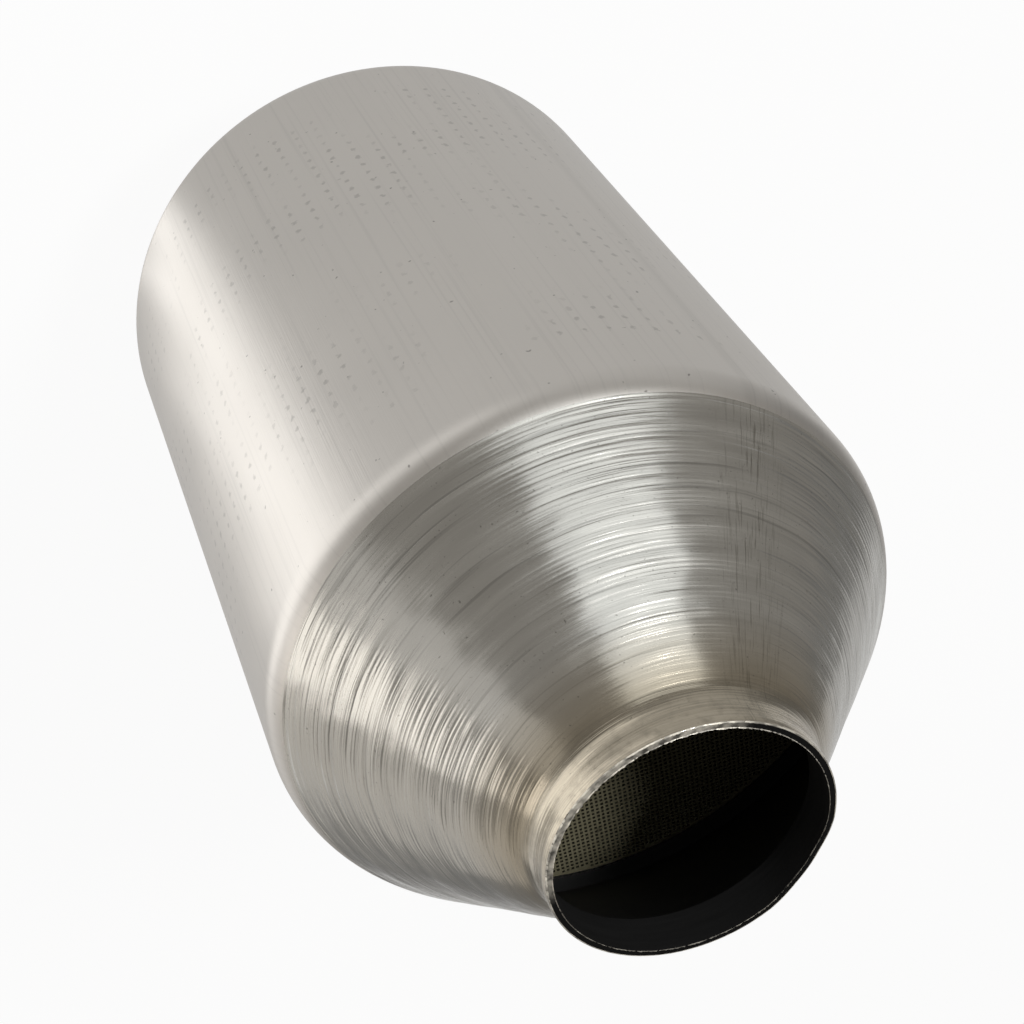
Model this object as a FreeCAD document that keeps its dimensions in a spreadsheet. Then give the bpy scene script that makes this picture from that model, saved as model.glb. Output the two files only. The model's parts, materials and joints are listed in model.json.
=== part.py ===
"""Universal round catalytic converter with spun ends.

One stainless tube is spun down at both ends to a cone and a short neck. Inside it a ceramic
honeycomb brick is held by a fibre mat, and a knitted wire ring keeps the gas off each edge of
the mat. Millimetres, +Z up. The converter stands on its rear neck: the origin is on the axis,
at the rear rim. Everything is the same above and below the middle of the tube.
"""
import FreeCAD, Part
import math
import os
import Sketcher
from FreeCAD import Vector

doc = FreeCAD.newDocument("CatalyticConverter")
sheet = doc.addObject("Spreadsheet::Sheet", "Sizes")

# ---------------------------------------------------------------- driving dimensions
SIZES = (
    ("brick_diameter", 118.4, "ceramic brick, 4.66 inch"),
    ("brick_length", 150.0, "ceramic brick, end to end"),
    ("brick_skin", 0.8, "unbroken outer skin of the brick"),
    ("brick_turn", 74.5, "degrees that the cell grid is turned about the axis"),
    ("cell_pitch", 9.0, "from one gas channel to the next; 1.04 in the real brick"),
    ("cell_wall", 1.5, "ceramic between two gas channels; 0.1 in the real brick"),
    ("mat_gap", 2.8, "mat thickness once squeezed between brick and tube"),
    ("mat_setback", 14.0, "from the brick's face to the mat's edge"),
    ("seal_setback", 2.0, "from the brick's face to the wire ring"),
    ("joint_gap", 0.8, "slit where the two ends of the mat meet"),
    ("tongue_length", 40.0, "mat tongue, measured along the axis"),
    ("tongue_reach", 15.0, "how far the tongue runs into its slot"),
    ("sheet_wall", 1.5, "thickness of the stainless sheet"),
    ("neck_bore", 51.0, "inside of both necks, to take a 2 inch pipe"),
    ("neck_length", 8.0, "rim to the corner where the cone starts"),
    ("cone_length", 44.5, "neck corner to shoulder corner, along the axis"),
    ("cone_clearance", 2.5, "from the brick's face to the shoulder corner"),
    ("root_radius", 8.0, "outside radius between neck and cone"),
    ("shoulder_radius", 10.0, "outside radius between cone and cylinder"),
)
for row, (alias, value, meaning) in enumerate(SIZES, start=1):
    sheet.set("A%d" % row, alias)
    sheet.set("B%d" % row, str(value))
    sheet.set("C%d" % row, meaning)
    sheet.setAlias("B%d" % row, alias)
doc.recompute()

# ---------------------------------------------------------------- places worked out from them
# Each is an expression in the sheet's cells, measured from the axis or from the middle height.
BRICK_R = "(Sizes.brick_diameter / 2)"
INSIDE_R = "(Sizes.brick_diameter / 2 + Sizes.mat_gap)"
BODY_R = "(Sizes.brick_diameter / 2 + Sizes.mat_gap + Sizes.sheet_wall)"
BORE_R = "(Sizes.neck_bore / 2)"
NECK_R = "(Sizes.neck_bore / 2 + Sizes.sheet_wall)"
MAT_Z = "(Sizes.brick_length / 2 - Sizes.mat_setback)"
SEAL_Z = "(Sizes.brick_length / 2 - Sizes.seal_setback)"
SHOULDER_Z = "(Sizes.brick_length / 2 + Sizes.cone_clearance)"
ROOT_Z = "(Sizes.brick_length / 2 + Sizes.cone_clearance + Sizes.cone_length)"
RIM_Z = "(Sizes.brick_length / 2 + Sizes.cone_clearance + Sizes.cone_length + Sizes.neck_length)"
CONE_RISE = "(%s - %s)" % (BODY_R, NECK_R)
CONE_SLANT = "(sqrt(%s ^ 2 + Sizes.cone_length ^ 2))" % CONE_RISE
# Bending a sheet moves the corner of its inner face by the wall times tan(half the bend).
HALF_BEND = "((%s - Sizes.cone_length) / %s)" % (CONE_SLANT, CONE_RISE)
INNER_SHIFT = "(Sizes.sheet_wall * %s)" % HALF_BEND


def number(expression):
    """The value of an expression in the sheet's cells."""
    return float(sheet.evalExpression(expression))


# ---------------------------------------------------------------- sketching helpers
def origin_plane(body, role):
    """One of the body's own origin planes, by its role."""
    return [item for item in body.Origin.OriginFeatures if item.Role == role][0]


def new_sketch(body, name, role):
    """An empty sketch on one of the body's origin planes."""
    sketch = body.newObject("Sketcher::SketchObject", name)
    sketch.AttachmentSupport = [(origin_plane(body, role), "")]
    sketch.MapMode = "FlatFace"
    return sketch


def place_point(sketch, geometry, vertex, across, along):
    """Hold one vertex at the two distances from the sketch's origin."""
    for kind, expression in (("DistanceX", across), ("DistanceY", along)):
        constraint = Sketcher.Constraint(kind, -1, 1, geometry, vertex, number(expression))
        index = sketch.addConstraint(constraint)
        sketch.setExpression("Constraints[%d]" % index, expression)


def rounded_corner(before, corner, after, radius):
    """Where the arc in a corner starts and ends, and its middle point."""
    to_before = (before - corner).normalize()
    to_after = (after - corner).normalize()
    half_angle = to_before.getAngle(to_after) / 2
    tangent = radius / math.tan(half_angle)
    middle = (to_before + to_after).normalize()
    reach = radius / math.sin(half_angle) - radius
    return corner + to_before * tangent, corner + middle * reach, corner + to_after * tangent


def draw_profile(sketch, corners):
    """A closed outline of straight lines through corners of (across, along, radius or None).

    A rounded corner stays in the sketch as a construction point that both lines pass through,
    so the corner, and not the ends of its arc, is what the sizes hold.
    """
    count = len(corners)
    points = [Vector(number(across), number(along), 0) for across, along, radius in corners]
    starts = list(points)
    ends = list(points)
    middles = {}
    for i, (across, along, radius) in enumerate(corners):
        if radius:
            found = rounded_corner(points[i - 1], points[i], points[(i + 1) % count], number(radius))
            ends[i], middles[i], starts[i] = found
    for i in range(count):
        line = Part.LineSegment(starts[i], ends[(i + 1) % count])
        sketch.addGeometry(line, False)
    for i, (across, along, radius) in enumerate(corners):
        line_in = (i - 1) % count
        line_out = i
        if radius:
            arc = sketch.addGeometry(Part.Arc(ends[i], middles[i], starts[i]), False)
            turns_left = (points[i] - points[i - 1]).cross(points[(i + 1) % count] - points[i]).z > 0
            arc_first, arc_last = (1, 2) if turns_left else (2, 1)
            sketch.addConstraint(Sketcher.Constraint("Tangent", line_in, 2, arc, arc_first))
            sketch.addConstraint(Sketcher.Constraint("Tangent", arc, arc_last, line_out, 1))
            index = sketch.addConstraint(Sketcher.Constraint("Radius", arc, number(radius)))
            sketch.setExpression("Constraints[%d]" % index, radius)
            corner = sketch.addGeometry(Part.Point(points[i]), True)
            sketch.addConstraint(Sketcher.Constraint("PointOnObject", corner, 1, line_in))
            sketch.addConstraint(Sketcher.Constraint("PointOnObject", corner, 1, line_out))
            place_point(sketch, corner, 1, across, along)
        else:
            sketch.addConstraint(Sketcher.Constraint("Coincident", line_in, 2, line_out, 1))
            place_point(sketch, line_out, 1, across, along)


def revolve(body, name, sketch):
    """Turn a sketch once round the upright axis, as the body's first solid."""
    feature = body.newObject("PartDesign::Revolution", name)
    feature.Profile = sketch
    feature.ReferenceAxis = (sketch, ["V_Axis"])
    feature.Angle = 360


def new_body(name, label):
    """A body whose middle height is lifted by half the converter's length."""
    body = doc.addObject("PartDesign::Body", name)
    body.Label = label
    body.setExpression(".Placement.Base.z", RIM_Z)
    return body


def minus(expression):
    """The same distance on the other side."""
    return "(0 - %s)" % expression


def mirrored(corners):
    """Corners as far below the middle height as the given ones are above it."""
    return tuple((across, minus(along), radius) for across, along, radius in corners)


# ---------------------------------------------------------------- shell
def make_shell():
    """The tube: a sheet's section turned round the axis.

    The outside bends through an arc at every corner. Inside, where nothing seats on the
    corners, the sheet's face turns sharply.
    """
    body = new_body("Shell", "shell")
    outside = (
        (NECK_R, RIM_Z, None),
        (NECK_R, ROOT_Z, "Sizes.root_radius"),
        (BODY_R, SHOULDER_Z, "Sizes.shoulder_radius"),
    )
    inside = (
        (BORE_R, RIM_Z, None),
        (BORE_R, "(%s - %s)" % (ROOT_Z, INNER_SHIFT), None),
        (INSIDE_R, "(%s - %s)" % (SHOULDER_Z, INNER_SHIFT), None),
    )
    section = new_sketch(body, "SheetSection", "XZ_Plane")
    draw_profile(section, mirrored(outside) + outside[::-1] + inside + mirrored(inside)[::-1])
    revolve(body, "SpunTube", section)
    return body


# ---------------------------------------------------------------- honeycomb
SMALLEST_CELL = 0.3


def make_honeycomb():
    """The brick: a disc pierced by a square grid of channels, extruded along the axis.

    Channels that meet the outer skin are cut off by it, as in a real extruded brick. One that
    would keep less than SMALLEST_CELL of its opening is left solid.
    """
    pitch = number("Sizes.cell_pitch")
    opening = pitch - number("Sizes.cell_wall")
    radius = number(BRICK_R)
    core = Part.Face(Part.Wire(Part.makeCircle(radius - number("Sizes.brick_skin"))))
    reach = int(radius / pitch) + 1
    squares = []
    for column in range(-reach, reach + 1):
        for row in range(-reach, reach + 1):
            corner = Vector(column * pitch - opening / 2, row * pitch - opening / 2, 0)
            squares.append(Part.makePlane(opening, opening, corner))
    channels = core.common(Part.Compound(squares))
    holes = [cell.OuterWire for cell in channels.Faces if cell.Area > SMALLEST_CELL * opening ** 2]
    edge = Part.Wire(Part.makeCircle(radius))
    face = doc.addObject("Part::Feature", "PiercedFace")
    face.Shape = Part.makeFace([edge] + holes, "Part::FaceMakerBullseye")

    brick = doc.addObject("Part::Extrusion", "Honeycomb")
    brick.Label = "honeycomb"
    brick.Base = face
    brick.DirMode = "Custom"
    brick.Dir = Vector(0, 0, 1)
    brick.Solid = True
    brick.Symmetric = True
    brick.setExpression("LengthFwd", "Sizes.brick_length")
    brick.setExpression(".Placement.Base.z", RIM_Z)
    brick.setExpression(".Placement.Rotation.Angle", "Sizes.brick_turn")
    return brick


# ---------------------------------------------------------------- mat
def make_mat():
    """The mat: one blanket wrapped round the brick, its ends meeting in a tongue and slot."""
    body = new_body("SupportMat", "support_mat")
    section = new_sketch(body, "MatSection", "XZ_Plane")
    draw_profile(section, (
        (BRICK_R, minus(MAT_Z), None),
        (INSIDE_R, minus(MAT_Z), None),
        (INSIDE_R, MAT_Z, None),
        (BRICK_R, MAT_Z, None),
    ))
    revolve(body, "MatRing", section)

    half_gap = "(Sizes.joint_gap / 2)"
    past_edge = "(%s + Sizes.joint_gap)" % MAT_Z
    under_tongue = "(Sizes.tongue_length / 2 - %s)" % half_gap
    over_tongue = "(Sizes.tongue_length / 2 + %s)" % half_gap
    left_side = (
        (minus(half_gap), past_edge, None),
        (minus(half_gap), under_tongue, None),
        ("(Sizes.tongue_reach - %s)" % half_gap, under_tongue, None),
    )
    right_side = (
        (half_gap, past_edge, None),
        (half_gap, over_tongue, None),
        ("(Sizes.tongue_reach + %s)" % half_gap, over_tongue, None),
    )
    slit = left_side + mirrored(left_side)[::-1] + mirrored(right_side) + right_side[::-1]
    joint = new_sketch(body, "JointLine", "XZ_Plane")
    draw_profile(joint, slit)
    cut = body.newObject("PartDesign::Pocket", "TongueAndSlot")
    cut.Profile = joint
    cut.setExpression("Length", "Sizes.brick_diameter")
    cut.Reversed = True
    return body


# ---------------------------------------------------------------- wire rings
def make_seal(name, label, front):
    """A ring of knitted wire rope, pressed between brick and tube against the mat's edge."""
    body = new_body(name, label)
    heights = (MAT_Z, SEAL_Z) if front else (minus(SEAL_Z), minus(MAT_Z))
    section = new_sketch(body, "RopeSection", "XZ_Plane")
    draw_profile(section, (
        (BRICK_R, heights[0], None),
        (INSIDE_R, heights[0], None),
        (INSIDE_R, heights[1], None),
        (BRICK_R, heights[1], None),
    ))
    revolve(body, "RopeRing", section)
    return body


pieces = [
    make_shell(),
    make_honeycomb(),
    make_mat(),
    make_seal("FrontMeshSeal", "front_mesh_seal", True),
    make_seal("RearMeshSeal", "rear_mesh_seal", False),
]
doc.recompute()

# ---------------------------------------------------------------- checks and files
for item in doc.Objects:
    if "Invalid" in item.State or "Error" in item.State:
        raise RuntimeError("%s did not build: %s" % (item.Label, item.State))
for piece in pieces:
    if piece.Shape.isNull() or not piece.Shape.isValid():
        raise RuntimeError("%s has no sound shape" % piece.Label)

os.makedirs("parts", exist_ok=True)
for piece in pieces:
    piece.Shape.exportStep("parts/%s.step" % piece.Label)
    box = piece.Shape.BoundBox
    print("%-16s %9.0f mm3  z %.2f to %.2f" % (piece.Label, piece.Shape.Volume, box.ZMin, box.ZMax))
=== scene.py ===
"""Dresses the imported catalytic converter: spun steel shell, real-density brick, mat and wire rings."""
import json
import math
import random

import bmesh
import bpy
from bpy.props import FloatProperty, FloatVectorProperty, IntProperty, PointerProperty
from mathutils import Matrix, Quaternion, Vector


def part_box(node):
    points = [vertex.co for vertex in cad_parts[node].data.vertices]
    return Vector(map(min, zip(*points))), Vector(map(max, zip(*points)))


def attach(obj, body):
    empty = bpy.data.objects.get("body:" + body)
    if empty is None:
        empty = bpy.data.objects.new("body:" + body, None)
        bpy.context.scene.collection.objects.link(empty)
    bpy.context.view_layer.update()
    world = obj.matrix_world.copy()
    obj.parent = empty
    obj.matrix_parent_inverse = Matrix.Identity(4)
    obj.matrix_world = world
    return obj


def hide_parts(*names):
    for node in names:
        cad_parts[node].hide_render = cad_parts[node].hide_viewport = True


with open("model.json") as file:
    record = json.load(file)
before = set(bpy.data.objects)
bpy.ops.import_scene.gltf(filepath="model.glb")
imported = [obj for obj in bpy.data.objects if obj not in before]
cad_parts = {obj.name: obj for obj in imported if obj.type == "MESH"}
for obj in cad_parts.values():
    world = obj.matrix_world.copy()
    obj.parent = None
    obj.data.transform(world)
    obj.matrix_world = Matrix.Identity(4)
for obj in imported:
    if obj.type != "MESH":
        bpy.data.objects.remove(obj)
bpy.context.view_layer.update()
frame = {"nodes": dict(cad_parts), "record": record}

bl_info = {
    "name": "Catalytic Converter",
    "version": (1, 0, 0),
    "blender": (4, 5, 0),
    "location": "3D View > Sidebar > Catalyst",
    "description": "Builds the visible shell, brick, mat and wire rings round the packed part",
    "category": "Add Mesh",
}

MM = 0.001
SHELL_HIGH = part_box("shell")[1]
BRICK_LOW, BRICK_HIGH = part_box("honeycomb")
MOUNTS = {mount["name"]: mount for mount in frame["record"]["mounts"]}
BORE_R = MOUNTS["front_neck_bore"]["dims"]["r_mm"] * MM
NECK_R = MOUNTS["front_neck_outside"]["dims"]["r_mm"] * MM
BODY_R = SHELL_HIGH.x
WALL = NECK_R - BORE_R
TOP = SHELL_HIGH.z
MIDDLE = TOP / 2
PIT_ACROSS, PIT_ALONG = 4.2, 2.6  # how much of its column and of its row each pit leaves bare
PIT_ROWS = 30
STEEL_CREASE = math.radians(35)
BURR_STEPS = 720
BRICK_STEPS = 180
# Painted reflection: for glossy rays only, the floor glows by these amounts, so the steel mirrors a painted
# pool of light.
FLOOR_NEAR_GLOW = 0.66  # what steel mirrors of the floor close to the part
FLOOR_DIMMING = 0.46  # how much less it mirrors of the floor further off
FLOOR_FRONT_GAIN = 0.42  # how much of that dimming the front of the floor gets back


# ---------------------------------------------------------------- sizes and colours to change
class ShellSizes(bpy.types.PropertyGroup):
    neck_length: FloatProperty(
        name="Neck length", description="Rim to the corner where the cone starts",
        default=8.0 * MM, unit="LENGTH")
    cone_end: FloatProperty(
        name="Cone end", description="Rim to the corner where the cylinder starts",
        default=52.5 * MM, unit="LENGTH")
    root_radius: FloatProperty(
        name="Root radius", description="Outside radius between neck and cone",
        default=8.0 * MM, unit="LENGTH")
    shoulder_radius: FloatProperty(
        name="Shoulder radius", description="Outside radius between cone and cylinder",
        default=10.0 * MM, unit="LENGTH")
    mark_depth: FloatProperty(
        name="Roller mark depth", description="Depth of the deepest roller marks on the cones",
        default=0.068 * MM, unit="LENGTH")
    mark_pitch: FloatProperty(
        name="Roller mark pitch", description="From one roller mark to the next",
        default=0.92 * MM, unit="LENGTH")
    waver: FloatProperty(
        name="Waver", description="How far the roller marks wander along the axis",
        default=0.7 * MM, unit="LENGTH")
    segments: IntProperty(
        name="Segments", description="Steps round the axis", default=192)
    burr: FloatProperty(
        name="Saw burr", description="How far the ragged saw burr stands above the sawn face",
        default=0.42 * MM, unit="LENGTH")
    burr_angle: FloatProperty(
        name="Burr angle", description="Where the outer burr is largest, round the axis from X",
        default=math.radians(-72), subtype="ANGLE")
    knock: FloatProperty(
        name="Knock", description="How far a knock has pushed the front rim in",
        default=0.6 * MM, unit="LENGTH")
    knock_angle: FloatProperty(
        name="Knock angle", description="Where the knock is, round the axis from X",
        default=math.radians(128), subtype="ANGLE")
    weld_angle: FloatProperty(
        name="Weld angle", description="Where the ground-down weld runs, round the axis from X",
        default=math.radians(-142), subtype="ANGLE")


class ShellColours(bpy.types.PropertyGroup):
    steel: FloatVectorProperty(
        name="Steel", description="Satin sheet", subtype="COLOR", default=(0.62, 0.59, 0.55))
    rolled: FloatVectorProperty(
        name="Rolled steel", description="Cones where the rollers ran", subtype="COLOR",
        default=(0.57, 0.555, 0.515))
    heated: FloatVectorProperty(
        name="Heated steel", description="Straw tint on the necks", subtype="COLOR",
        default=(0.45, 0.40, 0.315))
    # Near-black painted shade for the inside of the shell.
    scale: FloatVectorProperty(
        name="Painted dark inside", description="Inside of the shell", subtype="COLOR",
        default=(0.007, 0.007, 0.007))
    # Near-black painted shade for the sawn face of the rims.
    sawn: FloatVectorProperty(
        name="Sawn edge", description="Cut face of the rims", subtype="COLOR",
        default=(0.004, 0.004, 0.004))
    burr: FloatVectorProperty(
        name="Burr", description="Torn bright steel on the edges of the rims", subtype="COLOR",
        default=(0.82, 0.77, 0.67))


class BrickSizes(bpy.types.PropertyGroup):
    pitch: FloatProperty(
        name="Cell pitch", description="From one gas channel to the next",
        default=1.06 * MM, unit="LENGTH")
    wall: FloatProperty(
        name="Cell wall", description="Coated ceramic between two gas channels",
        default=0.45 * MM, unit="LENGTH")
    skin: FloatProperty(
        name="Skin", description="Closed outer skin of the brick",
        default=0.5 * MM, unit="LENGTH")
    turn: FloatProperty(
        name="Grid turn", description="How far the cell grid is turned about the axis",
        default=math.radians(74.5), subtype="ANGLE")
    coat: FloatVectorProperty(
        name="Washcoat", description="Coated ceramic", subtype="COLOR",
        default=(0.18, 0.165, 0.105))


class StageSettings(bpy.types.PropertyGroup):
    camera_place: FloatVectorProperty(
        name="Camera place", description="Where the camera stands", subtype="TRANSLATION",
        default=(0.0, -250.53 * MM, 471.51 * MM))
    camera_aim: FloatVectorProperty(
        name="Camera aim", description="A point the camera looks at", subtype="TRANSLATION",
        default=(26.28 * MM, 1.51 * MM, 161.99 * MM))
    camera_roll: FloatProperty(
        name="Camera roll", description="How far the camera is turned about its own axis",
        default=math.radians(154.516), subtype="ANGLE")
    lens: FloatProperty(
        name="Lens", description="Focal length", default=65.7, subtype="DISTANCE_CAMERA")
    shift: FloatVectorProperty(
        name="Shift", description="How far the picture is moved sideways and up", size=2,
        default=(0.0991, 0.0879))
    floor: FloatVectorProperty(
        name="Floor", description="Pale studio floor", subtype="COLOR", default=(0.80, 0.80, 0.79))


# ---------------------------------------------------------------- modelling helpers
def deselect_all():
    if bpy.context.object and bpy.context.object.mode != "OBJECT":
        bpy.ops.object.mode_set(mode="OBJECT")
    bpy.ops.object.select_all(action="DESELECT")


def make_active(piece):
    deselect_all()
    piece.select_set(True)
    bpy.context.view_layer.objects.active = piece


def edit(piece):
    """Edit mode on one piece, with nothing selected."""
    make_active(piece)
    bpy.ops.object.mode_set(mode="EDIT")
    bpy.ops.mesh.select_all(action="DESELECT")


def pick(piece, kind, wanted):
    """Select the faces, edges or vertices that pass a test."""
    mesh = bmesh.from_edit_mesh(piece.data)
    bpy.ops.mesh.select_mode(type={"faces": "FACE", "edges": "EDGE", "verts": "VERT"}[kind])
    bpy.ops.mesh.select_all(action="DESELECT")
    for part in getattr(mesh, kind):
        part.select_set(wanted(part))
    mesh.select_flush_mode()
    bmesh.update_edit_mesh(piece.data)


def draw_chain(name, points):
    """A chain of edges through points of (x, z), drawn by extruding one vertex again and again."""
    bpy.ops.mesh.primitive_plane_add(size=MM, location=(0, 0, 0))
    piece = bpy.context.object
    piece.name = name
    piece.data.name = name
    edit(piece)
    bpy.ops.mesh.select_all(action="SELECT")
    bpy.ops.mesh.merge(type="CENTER")
    first = points[0]
    bpy.ops.transform.translate(value=(first[0], 0, first[1]))
    for before, after in zip(points, points[1:]):
        step = (after[0] - before[0], 0, after[1] - before[1])
        bpy.ops.mesh.extrude_region_move(TRANSFORM_OT_translate={"value": step})
    return piece


def close_chain(points):
    """The same points without repeats, ending where they start."""
    clean = []
    for point in points:
        if not clean or math.dist(point, clean[-1]) > 0.001 * MM:
            clean.append(point)
    if math.dist(clean[0], clean[-1]) > 0.001 * MM:
        clean.append(clean[0])
    return clean


def spin_round(piece, steps):
    """Turn the chain once round the Z axis and close it."""
    bpy.ops.mesh.select_all(action="SELECT")
    bpy.ops.mesh.spin(steps=steps, angle=2 * math.pi, center=(0, 0, 0), axis=(0, 0, 1))
    bpy.ops.mesh.select_all(action="SELECT")
    bpy.ops.mesh.remove_doubles(threshold=0.001 * MM)
    bpy.ops.mesh.normals_make_consistent(inside=False)
    bpy.ops.object.mode_set(mode="OBJECT")


def arc_points(before, corner, after, radius, steps):
    """Points along the arc that rounds a corner of an (x, z) outline."""
    before, corner, after = Vector(before), Vector(corner), Vector(after)
    to_before = (before - corner).normalized()
    to_after = (after - corner).normalized()
    half = to_before.angle(to_after) / 2
    centre = corner + (to_before + to_after).normalized() * radius / math.sin(half)
    start = corner + to_before * radius / math.tan(half) - centre
    end = corner + to_after * radius / math.tan(half) - centre
    turn = start.angle_signed(end)
    points = []
    for i in range(steps + 1):
        angle = -turn * i / steps
        cosine, sine = math.cos(angle), math.sin(angle)
        turned = Vector((start.x * cosine - start.y * sine, start.x * sine + start.y * cosine))
        points.append(centre + turned)
    return points


def finish_piece(piece, node_names):
    """Hand a piece over: it stands for the solids and rides with the part."""
    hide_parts(*node_names)
    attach(piece, "root")


def set_material(piece, *materials):
    piece.data.materials.clear()
    for material in materials:
        piece.data.materials.append(material)


# ---------------------------------------------------------------- materials
def new_material(name):
    material = bpy.data.materials.new(name)
    material.use_nodes = True
    tree = material.node_tree
    shader = tree.nodes["Principled BSDF"]
    return material, tree, shader


def node(tree, kind, **values):
    made = tree.nodes.new(kind)
    for key, value in values.items():
        if hasattr(made, key):
            setattr(made, key, value)
        else:
            made.inputs[key].default_value = value
    return made


def connect(tree, source, socket):
    """Feed a socket from another socket, or give it a plain value."""
    if isinstance(source, bpy.types.NodeSocket):
        tree.links.new(source, socket)
    elif source is not None:
        socket.default_value = source


def math_node(tree, operation, first, second=None, clamp=False):
    made = node(tree, "ShaderNodeMath", operation=operation, use_clamp=clamp)
    for source, socket in zip((first, second), made.inputs):
        connect(tree, source, socket)
    return made.outputs[0]


def vector_math(tree, operation, first, second=None):
    """Sums on vectors; a length or a dot product comes out as a value."""
    made = node(tree, "ShaderNodeVectorMath", operation=operation)
    connect(tree, first, made.inputs[0])
    connect(tree, second, made.inputs["Scale" if operation == "SCALE" else 1])
    return made.outputs["Value" if operation in ("LENGTH", "DOT_PRODUCT") else "Vector"]


def map_range(tree, value, low, high, to_low=0.0, to_high=1.0):
    made = tree.nodes.new("ShaderNodeMapRange")
    sources = {"Value": value, "From Min": low, "From Max": high, "To Min": to_low, "To Max": to_high}
    for name, source in sources.items():
        connect(tree, source, made.inputs[name])
    return made.outputs[0]


def object_place(tree):
    return tree.nodes.new("ShaderNodeTexCoord").outputs["Object"]


def parts_of(tree, vector):
    """The X, Y and Z of a vector."""
    apart = tree.nodes.new("ShaderNodeSeparateXYZ")
    tree.links.new(vector, apart.inputs[0])
    return apart.outputs


def vector_of(tree, **parts):
    made = tree.nodes.new("ShaderNodeCombineXYZ")
    for axis, source in parts.items():
        connect(tree, source, made.inputs[axis])
    return made.outputs[0]


def cloud(tree, scale, detail=3.0):
    noise = node(tree, "ShaderNodeTexNoise", Detail=detail)
    connect(tree, scale, noise.inputs["Scale"])
    tree.links.new(object_place(tree), noise.inputs["Vector"])
    return noise.outputs["Fac"]


def group(name, inputs, outputs):
    """An empty shader node group with its named sockets."""
    tree = bpy.data.node_groups.new(name, "ShaderNodeTree")
    for socket, kind, default in inputs:
        made = tree.interface.new_socket(name=socket, in_out="INPUT", socket_type=kind)
        if default is not None:
            made.default_value = default
    for socket, kind in outputs:
        tree.interface.new_socket(name=socket, in_out="OUTPUT", socket_type=kind)
    return tree, tree.nodes.new("NodeGroupInput"), tree.nodes.new("NodeGroupOutput")


def use_group(tree, source, **values):
    made = tree.nodes.new("ShaderNodeGroup")
    made.node_tree = source
    for key, value in values.items():
        made.inputs[key.replace("_", " ")].default_value = value
    return made


def streaks(tree, source, **values):
    return use_group(tree, source, **values).outputs["Height"]


def specks_mask(tree, effects, scale, level, share):
    """Dark specks, at a share of their full strength."""
    specks = use_group(tree, effects["Specks"], Scale=scale, Level=level)
    return math_node(tree, "MULTIPLY", specks.outputs["Mask"], share)


def ring_streaks_group():
    """Fine lines that run round the axis: noise drawn out along X and Y and tight along Z."""
    tree, inside, outside = group(
        "Ring Streaks",
        (("Along", "NodeSocketFloat", 60.0), ("Across", "NodeSocketFloat", 2500.0),
         ("Detail", "NodeSocketFloat", 4.0), ("Low", "NodeSocketFloat", 0.3),
         ("High", "NodeSocketFloat", 0.7)),
        (("Height", "NodeSocketFloat"),))
    along, across = inside.outputs["Along"], inside.outputs["Across"]
    scale = vector_of(tree, X=along, Y=along, Z=across)
    spread_noise(tree, inside, outside, vector_math(tree, "MULTIPLY", object_place(tree), scale))
    return tree


def axial_streaks_group():
    """Fine lines that run along the axis: noise tight round the axis and drawn out along Z."""
    tree, inside, outside = group(
        "Axial Streaks",
        (("Around", "NodeSocketFloat", 120.0), ("Along", "NodeSocketFloat", 25.0),
         ("Detail", "NodeSocketFloat", 3.0), ("Low", "NodeSocketFloat", 0.3),
         ("High", "NodeSocketFloat", 0.7)),
        (("Height", "NodeSocketFloat"),))
    place = parts_of(tree, object_place(tree))
    unit = vector_math(tree, "NORMALIZE", vector_of(tree, X=place["X"], Y=place["Y"]))
    around = vector_math(tree, "SCALE", unit, inside.outputs["Around"])
    along = vector_of(tree, Z=math_node(tree, "MULTIPLY", place["Z"], inside.outputs["Along"]))
    spread_noise(tree, inside, outside, vector_math(tree, "ADD", around, along))
    return tree


def spread_noise(tree, inside, outside, vector):
    """Noise on a vector, spread over 0 to 1 between the group's Low and High."""
    noise = node(tree, "ShaderNodeTexNoise", Scale=1.0, Roughness=0.6)
    tree.links.new(vector, noise.inputs["Vector"])
    tree.links.new(inside.outputs["Detail"], noise.inputs["Detail"])
    spread = map_range(tree, noise.outputs["Fac"], inside.outputs["Low"], inside.outputs["High"])
    tree.links.new(spread, outside.inputs["Height"])


def specks_group():
    """Small dark pits strewn over a surface."""
    tree, inside, outside = group(
        "Specks",
        (("Scale", "NodeSocketFloat", 900.0), ("Level", "NodeSocketFloat", 0.7)),
        (("Mask", "NodeSocketFloat"),))
    level = inside.outputs["Level"]
    grain = cloud(tree, inside.outputs["Scale"], detail=1.0)
    mask = map_range(tree, grain, level, math_node(tree, "ADD", level, 0.05))
    tree.links.new(mask, outside.inputs["Mask"])
    return tree


def from_rim_group():
    """Height below the nearer rim, in metres."""
    tree, inside, outside = group("From Rim", (("Middle", "NodeSocketFloat", MIDDLE),),
                                  (("Distance", "NodeSocketFloat"),))
    middle = inside.outputs["Middle"]
    off = math_node(tree, "SUBTRACT", parts_of(tree, object_place(tree))["Z"], middle)
    far = math_node(tree, "ABSOLUTE", off)
    tree.links.new(math_node(tree, "SUBTRACT", middle, far), outside.inputs["Distance"])
    return tree


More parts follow.
